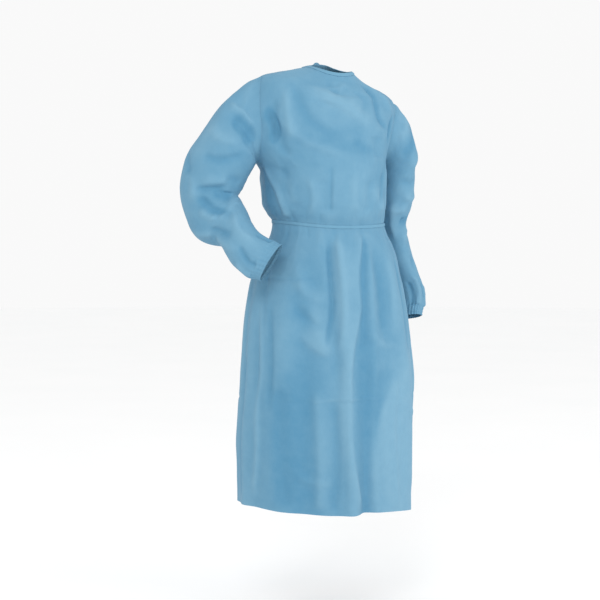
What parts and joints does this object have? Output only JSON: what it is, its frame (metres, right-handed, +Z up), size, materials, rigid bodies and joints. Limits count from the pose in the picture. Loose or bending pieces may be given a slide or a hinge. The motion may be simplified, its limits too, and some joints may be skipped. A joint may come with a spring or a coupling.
{
  "type": "isolation gown",
  "caption": "Worn hollow isolation gown in light blue nonwoven, tied at the waist, one sleeve bent to the hip and one hanging",
  "frame": {"origin": "the middle of the neck opening, where the gown hangs from the wearer's neck and shoulders", "axes": "+Z up along the standing wearer, the front faces -Y, the wearer's right is -X"},
  "size_m": [0.696, 0.3627, 1.1652],
  "materials": {
    "gown_cloth": "matt spunbond nonwoven",
    "tie_strip": "matt folded nonwoven strip"
  },
  "bodies": {
    "root": {"front_panel": "gown_cloth", "back_panel_right": "gown_cloth", "back_panel_left": "gown_cloth", "sleeve_right": "gown_cloth", "sleeve_left": "gown_cloth", "cuff_right": "gown_cloth", "cuff_left": "gown_cloth", "neck_binding": "tie_strip", "belt": "tie_strip", "belt_knot": "tie_strip", "belt_end_left": "tie_strip", "belt_end_right": "tie_strip", "neck_knot": "tie_strip", "neck_end_left": "tie_strip", "neck_end_right": "tie_strip"}
  },
  "joints": []
}
